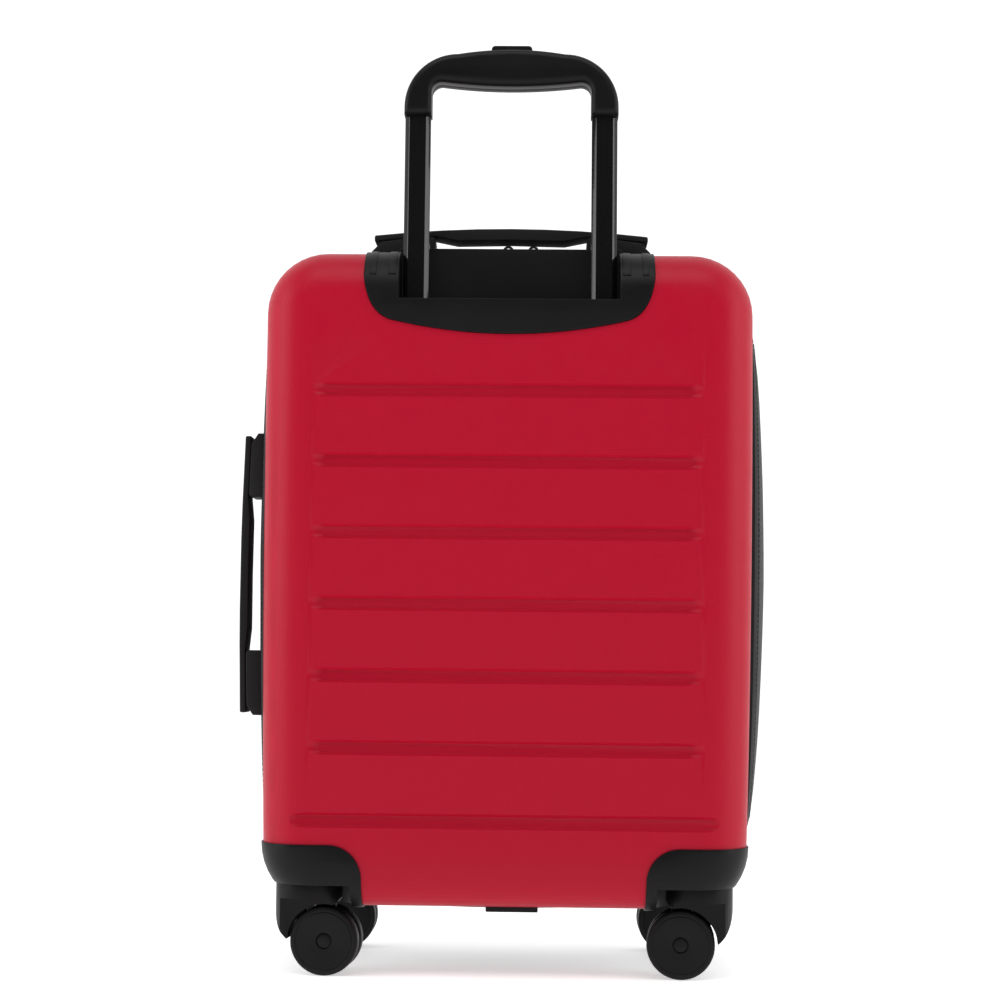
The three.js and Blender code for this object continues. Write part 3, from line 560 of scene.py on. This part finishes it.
# ---- Soft body, lid and trims --------------------------------------------------------------------
def soften(obj, amount, scale=0.018):
    """Gentle unevenness of padded fabric."""
    mesh = obj.data
    for vertex in mesh.vertices:
        p = vertex.co
        wave = noise.noise(Vector((p.x, p.y * 1.6, p.z)) * scale)
        vertex.co = p + vertex.normal * (amount * wave)


def fabric_core():
    return cut(case_form(3, 1), *recesses(GUARD_LINER + GAP + 3))


def soft_body():
    rear = slab(RIM + 1.8, LID_PLANE - GAP)
    base = slab(LID_PLANE - GAP - 1, BIG, -BIG, LID_BOTTOM - GAP)
    body = keep(case_form(0), join(rear, base))
    cut(body, fabric_core(), *recesses(GUARD_LINER + GAP))
    soften(body, 0.4)
    finish_piece(body, "soft_body_look", "case", BODY, ["soft_body"], smooth=40)


def front_lid():
    lid = keep(case_form(0), slab(LID_PLANE, BIG, LID_BOTTOM))
    cut(lid, fabric_core())
    soften(lid, 0.4)
    finish_piece(lid, "front_lid_look", "lid", LID, ["front_lid"], smooth=40)


def part_above(points, low):
    """The stretch of a closed outline that lies above a height, in order."""
    count = len(points)
    start = next(i for i in range(count) if points[i][2] > low and points[i - 1][2] <= low)
    run = []
    for k in range(count):
        p = points[(start + k) % count]
        if p[2] <= low:
            break
        run.append(p)
    return run


def even_path(points, step):
    """Points at an even spacing along a path."""
    path = [Vector(p) for p in points]
    out, carry = [path[0]], 0.0
    for a, b in zip(path, path[1:]):
        length = (b - a).length
        place = step - carry
        while place <= length:
            out.append(a.lerp(b, place / length))
            place += step
        carry = length - (place - step)
    return out


def stitches(name, path, body, material, length=2.6, pitch=4.2, radius=0.42):
    """A row of short threads along a path."""
    threads = []
    points = even_path(path, pitch)
    for a, b in zip(points, points[1:]):
        along = (b - a).normalized()
        side = along.cross(Vector((0, 1, 0))).normalized()
        start, end = a, a + along * length
        lift = side * radius * 0.6
        run = [start - lift, start + along * 0.4 + lift, end - along * 0.4 + lift, end - lift]
        threads.append(sweep("thread", run, radius, 5))
    return finish_piece(merged(name, threads), name, body, material, smooth=60)


def wall_path(y, out, low, rise=0.0):
    return part_above(outline(y, -out, gusset_bulge(y) + rise), low)


soft_body()
front_lid()
guard_top = box_mm("rear_left_guard")[1].z
piping = sweep("piping", wall_path(RIM, -0.7, guard_top + GAP), 1.5, 10)
finish_piece(piping, "rim_piping_look", "case", MATERIALS["trim_black"], ["rim_piping"],
             smooth=60)

zip_low, zip_high = box_mm("zip_track")
zip_middle = (zip_low.y + zip_high.y) / 2
ZIP_CORNER = zip_low.z


def zip_track():
    """Two woven tapes with a row of coil teeth standing where they meet."""
    tapes = []
    for y0, y1 in ((zip_low.y, zip_middle - 1.4), (zip_middle + 1.4, zip_high.y)):
        outer = part_above(outline(zip_middle, -1.1, gusset_bulge(zip_middle)), ZIP_CORNER)
        inner = part_above(outline(zip_middle, -0.3, gusset_bulge(zip_middle)), ZIP_CORNER)
        inner = inner[:len(outer)]
        rings = [[(a[0], y0, a[2]), (a[0], y1, a[2]), (b[0], y1, b[2]), (b[0], y0, b[2])]
                 for a, b in zip(outer, inner)]
        tapes.append(loft("tape", rings))
    path = even_path(wall_path(zip_middle, 1.1, ZIP_CORNER), 2.1)
    for index, (a, b) in enumerate(zip(path, path[1:])):
        along = (b - a).normalized()
        side = along.cross(Vector((0, 1, 0))).normalized()
        shift = 0.35 if index % 2 else -0.35
        run = [a + Vector((0, -1.9 + shift, 0)), a + Vector((0, -1.2 + shift, 0)) + side * 0.35,
               a + Vector((0, 1.2 + shift, 0)) + side * 0.35, a + Vector((0, 1.9 + shift, 0))]
        rings = []
        for p in run:
            corners = ((-0.6, -0.45), (0.6, -0.45), (0.6, 0.4), (-0.6, 0.4))
            rings.append([p + along * u + side * v for u, v in corners])
        tapes.append(loft("tooth", rings))
    return merged("zip", tapes)


finish_piece(zip_track(), "zip_track_look", "case", MATERIALS["trim_black"], ["zip_track"],
             smooth=45)
for seam, y in enumerate((RIM + 7, zip_low.y - 4)):
    stitches(f"body_stitches_{seam}", wall_path(y, 0.25, guard_top + 6), "case",
             MATERIALS["trim_black"])
stitches("lid_stitches", wall_path(LID_PLANE + 5, 0.25, LID_BOTTOM + 6), "lid",
         MATERIALS["lid_fabric"])


# ---- Front pocket --------------------------------------------------------------------------------
def rounded_rectangle(width, height, radius, z, steps=10):
    x, h = width / 2 - radius, height / 2 - radius
    return (arc(x, z - h, radius, -90, 0, steps) + arc(x, z + h, radius, 0, 90, steps)
            + arc(-x, z + h, radius, 90, 180, steps) + arc(-x, z - h, radius, 180, 270, steps))


def front_pocket():
    low, high = box_mm("front_pocket")
    width, height, z = high.x - low.x, high.z - low.z, (low.z + high.z) / 2
    depth = high.y - low.y
    rings = []
    for share in (0, 0.02, 0.06, 0.12, 0.2, 0.3, 0.42, 0.56, 0.72, 0.9):
        inset = share * width / 2
        puff = 0.35 + 0.65 * math.sin(math.pi / 2 * min(share / 0.45, 1)) ** 0.8 if share else 0
        corner = max(30 - inset, 4 + 10 * (1 - share))
        shape = rounded_rectangle(width - 2 * inset, height - 2 * inset, corner, z)
        rings.append([(x, low.y + depth * puff, h) for x, h in shape])
    pocket = loft("pocket", rings)
    smoothing = pocket.modifiers.new("soft", "SUBSURF")
    smoothing.levels = smoothing.render_levels = 1
    apply_modifiers(pocket)
    soften(pocket, 0.8, 0.03)
    finish_piece(pocket, "front_pocket_look", "lid", MATERIALS["lid_fabric"], ["front_pocket"])
    edge = [(x, low.y + 1.3, h) for x, h in rounded_rectangle(width - 2, height - 2, 29, z)]
    welt = sweep("welt", edge, 1.5, 8, closed=True)
    finish_piece(welt, "pocket_welt", "lid", MATERIALS["lid_fabric"], smooth=60)
    line = [(x, low.y + depth * 0.62, h) for x, h in rounded_rectangle(width - 16, height - 16, 24, z)]
    stitches("pocket_stitches", [*line, line[0]], "lid", MATERIALS["trim_black"])


front_pocket()

# ---- Zip pulls and sliders -----------------------------------------------------------------------
for side in ("left", "right"):
    refined(f"zip_slider_{side}", MATERIALS["zip_metal"], 0.7)
    low, high = box_mm(f"zip_pull_{side}")
    x, y = (low.x + high.x) / 2, (low.y + high.y) / 2
    cord = (high.y - low.y) / 2
    reach = (high.x - low.x) / 2 - cord
    loop = arc(x, low.z + cord + reach, reach, 180, 360, 14)
    loop += arc(x, high.z - cord - reach, reach, 0, 180, 14)
    pull = sweep("pull", [(px, y, pz) for px, pz in loop], cord, 10, closed=True)
    finish_piece(pull, f"zip_pull_{side}_look", f"pull_{side}", MATERIALS["trim_black"],
                 [f"zip_pull_{side}"], smooth=60)

# ---- Trolley -------------------------------------------------------------------------------------
grip_low, grip_high = box_mm("grip_rear_half")
tube_low, tube_high = box_mm("inner_tube_right")
TROLLEY_Y = (tube_low.y + tube_high.y) / 2
TUBE_X = (tube_low.x + tube_high.x) / 2
TUBE = (tube_high.x - tube_low.x, tube_high.y - tube_low.y)
LEG = (grip_high.x - TUBE_X) * 2
FLOOR = TOP - 41
TUBE_CHAMFER = 3.6
STAGE_GROWTH = 2.9
BEZEL_WALL = 2.5


def tube_tool(side, grow, low, high):
    """The room for a tube whose section is the inner tube's plus the growth."""
    x, y, c = (TUBE[0] + grow) / 2, (TUBE[1] + grow) / 2, TUBE_CHAMFER
    shape = [(x, -y + c), (x, y - c), (x - c, y), (-x + c, y)]
    shape += [(-u, -v) for u, v in shape]
    return prism([(u + side * TUBE_X, v + TROLLEY_Y) for u, v in shape], low, high, "z")


def bezel():
    wall, half = BEZEL_WALL, TUBE_X + LEG / 2 + 1.5
    high = box_mm("trolley_bezel")[1].z
    recess_back = BEZEL_REAR - wall - 3
    body = keep(prism(bezel_outline(0), BACK - 20, BEZEL_REAR), case_form(-1.5))
    join(body, block((-half - wall, half + wall), (recess_back, BEZEL_REAR), (FLOOR - wall, high)))
    inside = keep(prism(bezel_outline(-wall), BACK, BIG), case_form(wall))
    cut(inside, block((-half - wall, half + wall), (-BIG, recess_back + wall), (FLOOR - wall, 2 * BIG)))
    tubes = [tube_tool(side, STAGE_GROWTH + 1.3, -BIG, 2 * BIG) for side in (-1, 1)]
    sleeves = [tube_tool(side, 2 * STAGE_GROWTH + 2 * GAP, -BIG, FLOOR - wall) for side in (-1, 1)]
    cut(body, block((-half, half), (-BIG, recess_back), (FLOOR, 2 * BIG)), inside, *tubes, *sleeves)
    finish_piece(body, "bezel", "case", MATERIALS["plastic_black"], ["trolley_bezel"],
                 0.7, 3)
    ridges = []
    for side in (-1, 1):
        for x0, x1, proud in ((87.0, 93.5, 0.6), (102.5, 107.5, 0.6)):
            left, right = sorted((side * x0, side * x1))
            ridge = keep(case_form(-1.5 - proud), block((left, right), (BACK - 20, BEZEL_REAR - 4),
                                                       (TOP - 22, TOP + 20)))
            ridges.append(cut(ridge, case_form(-1.4)))
    finish_piece(merged("ridges", ridges), "bezel_ridges", "case",
                 MATERIALS["plastic_black"], bevel=0.4, segments=2)


bezel()
for side in ("left", "right"):
    refined(f"inner_tube_{side}", MATERIALS["tube_gloss_black"], 1.0)
    refined(f"middle_tube_{side}", MATERIALS["tube_gloss_black"], 0.8)
    refined(f"tube_sleeve_{side}", MATERIALS["steel"], 0.6)


def offset(points, distance):
    """A closed outline moved inward, drawn anticlockwise."""
    moved = []
    count = len(points)
    for i in range(count):
        a, b, c = (Vector(points[k % count]) for k in (i - 1, i, i + 1))
        one, two = (b - a).normalized(), (c - b).normalized()
        normal = Vector((-one.y - two.y, one.x + two.x)).normalized()
        fit = max(normal.dot(Vector((-one.y, one.x))), 0.5)
        moved.append(tuple(b + normal * (distance / fit)))
    return moved


def pillow(name, shape, y0, y1, radius, steps=6):
    """An outline made solid along Y with its two edges rounded."""
    rings = []
    for k in range(steps + 1):
        turn = rad(90 * k / steps)
        rings.append([(x, y0 + radius * (1 - math.sin(turn)), z)
                      for x, z in offset(shape, radius * (1 - math.cos(turn)))])
    rings.reverse()
    rings += [[(x, y0 + y1 - y, z) for x, y, z in ring] for ring in reversed(rings)]
    return loft(name, rings)


def grip_outline():
    half, inner = grip_high.x, TUBE_X - LEG / 2
    low, high, crown, outer_round, inner_round = grip_low.z, grip_high.z, 3.5, 42, 8
    shoulder, under = high - crown, high - 29.5
    shape = [(half, low)]
    shape += arc(half - outer_round, shoulder - outer_round, outer_round, 0, 90, 18)
    shape += curve((half - outer_round, shoulder), (0, high + crown), (-half + outer_round, shoulder),
                   16)[1:-1]
    shape += arc(-half + outer_round, shoulder - outer_round, outer_round, 90, 180, 18)
    shape += [(-half, low), (-inner, low)]
    shape += arc(-inner + inner_round, under + crown - inner_round, inner_round, 180, 90, 8)
    shape += curve((-inner + inner_round, under + crown), (0, under - crown),
                   (inner - inner_round, under + crown), 16)[1:-1]
    shape += arc(inner - inner_round, under + crown - inner_round, inner_round, 90, 0, 8)
    return shape + [(inner, low)]


def grip():
    front_high = box_mm("grip_front_half")[1]
    link_z = box_mm("release_button")[0].z + 9
    ends = [("rear", slab(-BIG, TROLLEY_Y - 0.15)), ("front", slab(TROLLEY_Y + 0.15, BIG))]
    for end, half_space in ends:
        whole = pillow("grip", grip_outline(), grip_low.y, front_high.y, 5.5)
        keep(whole, half_space)
        room = block((-16.45, 16.45), (TROLLEY_Y - 6.45, TROLLEY_Y + 6.45), (link_z - 4, BIG * 2))
        right = [(TUBE_X - 6, link_z + 5.5), (TUBE_X + 2.5, link_z - 3), (TUBE_X + 2.5, link_z - 13),
                 (TUBE_X - 8.5, link_z - 13), (TUBE_X - 8.5, link_z - 4)]
        link = prism(right + [(-x, z) for x, z in reversed(right)], TROLLEY_Y - 5, TROLLEY_Y + 5, "y")
        sockets = [tube_tool(side, 0.6, grip_low.z - 5, tube_high.z + GAP) for side in (-1, 1)]
        rods = [rod(3, tube_high.z - 1, link_z - 12, (side * TUBE_X, TROLLEY_Y), "z", 24) for side in (-1, 1)]
        cut(whole, room, link, *sockets, *rods)
        finish_piece(whole, f"grip_{end}", "inner_stage", MATERIALS["grip_black"],
                     [f"grip_{end}_half"], 0.3, 2, 30)


grip()
refined("release_button", MATERIALS["grip_black"], 0.9, 4)

# ---- Strap handles -------------------------------------------------------------------------------
for name in ("top_strap", "side_strap"):
    refined(name, MATERIALS["handle_rubber"], 1.3, 4, 50)
for name in ("top_strap_foot_left", "top_strap_foot_right", "side_strap_foot_upper", "side_strap_foot_lower"):
    refined(name, MATERIALS["handle_rubber"], 1.0, 3)

# ---- Guards and casters --------------------------------------------------------------------------
GUARD_REACH = 83
GUARD_CURVE = 25
GUARD_TOP = 100
FORK_RADIUS = 25.5
TRAIL = 14.2
WHEEL_RADIUS = 26
WHEEL_WIDTH = 11.5
WHEEL_GAP = 8
ARCH_GAP = 2


def guard_region(outer, sign):
    inner = outer - GUARD_REACH
    shape = [(inner, BOTTOM - 20)]
    shape += arc(inner + GUARD_CURVE, GUARD_TOP - GUARD_CURVE, GUARD_CURVE, 180, 90, 14)
    shape += [(outer + 30, GUARD_TOP), (outer + 30, BOTTOM - 20)]
    return [(sign * u, v) for u, v in shape]


def guard(name, side, end):
    body = keep(case_form(-1.5), prism(guard_region(HALF, side), -BIG, BIG, "y"),
                prism(guard_region(-BACK, end), -BIG, BIG, "x"))
    filled = cut(case_form(-0.3), wheel_recess(side, end, GUARD_LINER))
    kingpin = rod(4.3, RECESS_CEILING - 20, RECESS_CEILING + 20, (side * SWIVEL[0], end * SWIVEL[1]))
    cut(body, filled, wheel_recess(side, end, 0), kingpin)
    finish_piece(body, f"{name}_guard_look", "case", MATERIALS["plastic_black"],
                 [f"{name}_guard"], 0.5, 2)


def lathe(name, profile, steps=64):
    """A closed profile of (radius, place along Y) turned round the Y axis."""
    rings = []
    for k in range(steps):
        t = 2 * math.pi * k / steps
        rings.append([(r * math.cos(t), h, r * math.sin(t)) for r, h in profile])
    return loft(name, rings, closed=True)


def fork():
    """A round head with a skirt on its leading side, cut out over the wheels, and a web between them."""
    top, r = RECESS_CEILING - RUN, FORK_RADIUS
    bottom = top - 11
    half = WHEEL_GAP / 2 + WHEEL_WIDTH
    skirt = curve((-r, top - 13), (-r, top - 32), (-r + 11, WHEEL_RADIUS + 1.5), 14)
    profile = [(-r - 2, top), (-r - 2, top - 12), *skirt, (0, WHEEL_RADIUS + 1.5), (r, bottom), (r, top)]
    body = keep(rod(r, 0, top, (0, 0), "z", 64), prism(profile, -half - 1, half + 1))
    join(body, rod(r, bottom, top, (0, 0), "z", 64))
    cut(body, rod(WHEEL_RADIUS + ARCH_GAP, -2 * r, 2 * r, (TRAIL, WHEEL_RADIUS), "y", 72))
    web = prism([(-15, bottom + 1), (-13, 46), (6, 20), (14, 17), (21, 22), (21, bottom + 1)],
                -WHEEL_GAP / 2 + RUN, WHEEL_GAP / 2 - RUN)
    join(body, web)
    axle_hole = rod(3.3, -half, half, (TRAIL, WHEEL_RADIUS), "y", 32)
    kingpin_hole = rod(4.5, 40, 100, (0, 0), "z", 32)
    rivet_room = rod(7.5, bottom - 8, bottom + 6, (0, 0), "z", 32)
    return cut(body, axle_hole, kingpin_hole, rivet_room)


def wheel_profile():
    """Across the wheel from its inner face to its outer one."""
    R, w = WHEEL_RADIUS, WHEEL_WIDTH
    tread = [(R - 1.6, 0), (R - 0.6, 0.35), (R - 0.1, 1.3), (R, 3), (R, w - 3), (R - 0.15, w - 1.5),
             (R - 0.7, w - 0.5), (R - 1.7, w)]
    face = [(R - 3.2, w), (R - 3.8, w - 0.5), (R - 4.4, w - 0.5), (R - 4.9, w - 0.1), (R - 8, w - 0.15),
            (R - 14, w - 0.5), (6.3, w - 0.9), (5.95, w - 1.3), (5.95, w - 3.4), (3.45, w - 3.5)]
    return [(3.45, 0), (6, 0), (7, 0.8), (R - 6, 0.8), (R - 5, 0), *tread, *face]


def axle_profile():
    half = WHEEL_GAP / 2 + WHEEL_WIDTH - 1.6
    neck = half - 1.45
    side = [(0.01, half + 0.35), (2.5, half + 0.3), (4.6, half), (5.45, half - 0.4), (5.5, neck), (3, neck)]
    return side + [(r, -h) for r, h in reversed(side)]


def caster(name, side, end, yaw):
    place = Matrix.Translation((side * SWIVEL[0], end * SWIVEL[1], 0))
    turn = place @ Matrix.Rotation(rad(yaw) + (math.pi if side > 0 else 0), 4, "Z")
    hub = turn @ Matrix.Translation((TRAIL, 0, WHEEL_RADIUS))
    head = fork()
    head.data.transform(turn)
    finish_piece(head, f"{name}_fork_look", f"{name}_caster", MATERIALS["plastic_black"],
                 [f"{name}_fork"], 0.6, 3)
    axle = lathe("axle", axle_profile(), 32)
    axle.data.transform(hub)
    finish_piece(axle, f"{name}_axle_look", f"{name}_caster", MATERIALS["wheel_black"],
                 [f"{name}_axle"])
    for label, sign in (("near", side), ("far", -side)):
        wheel = lathe("wheel", [(r, sign * (WHEEL_GAP / 2 + h)) for r, h in wheel_profile()])
        wheel.data.transform(hub)
        finish_piece(wheel, f"{name}_wheel_{label}_look", f"{name}_{label}_wheel",
                     MATERIALS["wheel_black"], [f"{name}_wheel_{label}"], smooth=30)


for corner in CORNERS:
    guard(*corner[:3])
    caster(*corner)
refined("base_stud", MATERIALS["plastic_black"], 0.9)

# ---- CAD pieces shown as they are ----------------------------------------------------------------
slot_of = {s["node"]: s["material_slot"] for s in frame["record"]["subparts"]}
for name, obj in nodes.items():
    if not obj.hide_render:
        obj.data.materials.clear()
        obj.data.materials.append(MATERIALS[slot_of[name]])

# ---- Floor, light and camera ---------------------------------------------------------------------
floor_material = Nodes("floor", 0.6, 0.1, Emission_Color=(1, 1, 1, 1), Emission_Strength=0.5)
speckle = floor_material.noise(40.0, 3.0)
floor_material.done(floor_material.mix(speckle, (0.86, 0.86, 0.86, 1), (0.89, 0.89, 0.89, 1)))
floor = make("floor", [(-20, -20, 0), (20, -20, 0), (20, 20, 0), (-20, 20, 0)], [(0, 1, 2, 3)])
floor.data.materials.append(floor_material.material)

world = bpy.data.worlds.new("studio")
world.use_nodes = True
sky = world.node_tree
facing = sky.nodes.new("ShaderNodeSeparateXYZ")
sky.links.new(sky.nodes.new("ShaderNodeTexCoord").outputs["Generated"], facing.inputs[0])
fade = sky.nodes.new("ShaderNodeMapRange")
fade.interpolation_type = "SMOOTHSTEP"
for socket, value in (("From Min", -0.35), ("From Max", 0.5), ("To Min", 0.08), ("To Max", 1.15)):
    fade.inputs[socket].default_value = value
sky.links.new(facing.outputs["Y"], fade.inputs["Value"])
sky.nodes["Background"].inputs["Color"].default_value = (1, 1, 1, 1)
sky.links.new(fade.outputs[0], sky.nodes["Background"].inputs["Strength"])
bpy.context.scene.world = world


def softbox(name, place, target, size, power):
    data = bpy.data.lights.new(name, "AREA")
    data.shape = "RECTANGLE"
    data.size, data.size_y = size
    data.energy = power
    light = bpy.data.objects.new(name, data)
    light.location = place
    light.rotation_euler = (Vector(target) - Vector(place)).to_track_quat("-Z", "Y").to_euler()
    bpy.context.scene.collection.objects.link(light)


softbox("left", (-1.9, -0.6, 0.9), (0, 0, 0.35), (1.0, 1.6), 17)
softbox("right", (1.9, -0.5, 0.9), (0, 0, 0.35), (0.9, 1.6), 15)
softbox("overhead", (0, -1.0, 2.1), (0, 0, 0.35), (2.0, 1.0), 22)
bpy.context.scene.view_settings.view_transform = "Standard"

camera_data = bpy.data.cameras.new("camera")
camera_data.sensor_width = 36
camera_data.lens = 71.3
camera = bpy.data.objects.new("camera", camera_data)
bpy.context.scene.collection.objects.link(camera)
yaw, pitch, roll = 1.20, 4.9, -0.6
stand = Matrix.Translation(((MIDDLE + 26) * MM, -1.6135, 0.2325))
aim = Matrix.Rotation(rad(yaw), 4, "Z") @ Matrix.Rotation(rad(pitch), 4, "X")
aim = aim @ Matrix.Rotation(rad(roll), 4, "Y")
camera.matrix_world = stand @ aim @ Matrix.Rotation(rad(90), 4, "X")
bpy.context.scene.camera = camera
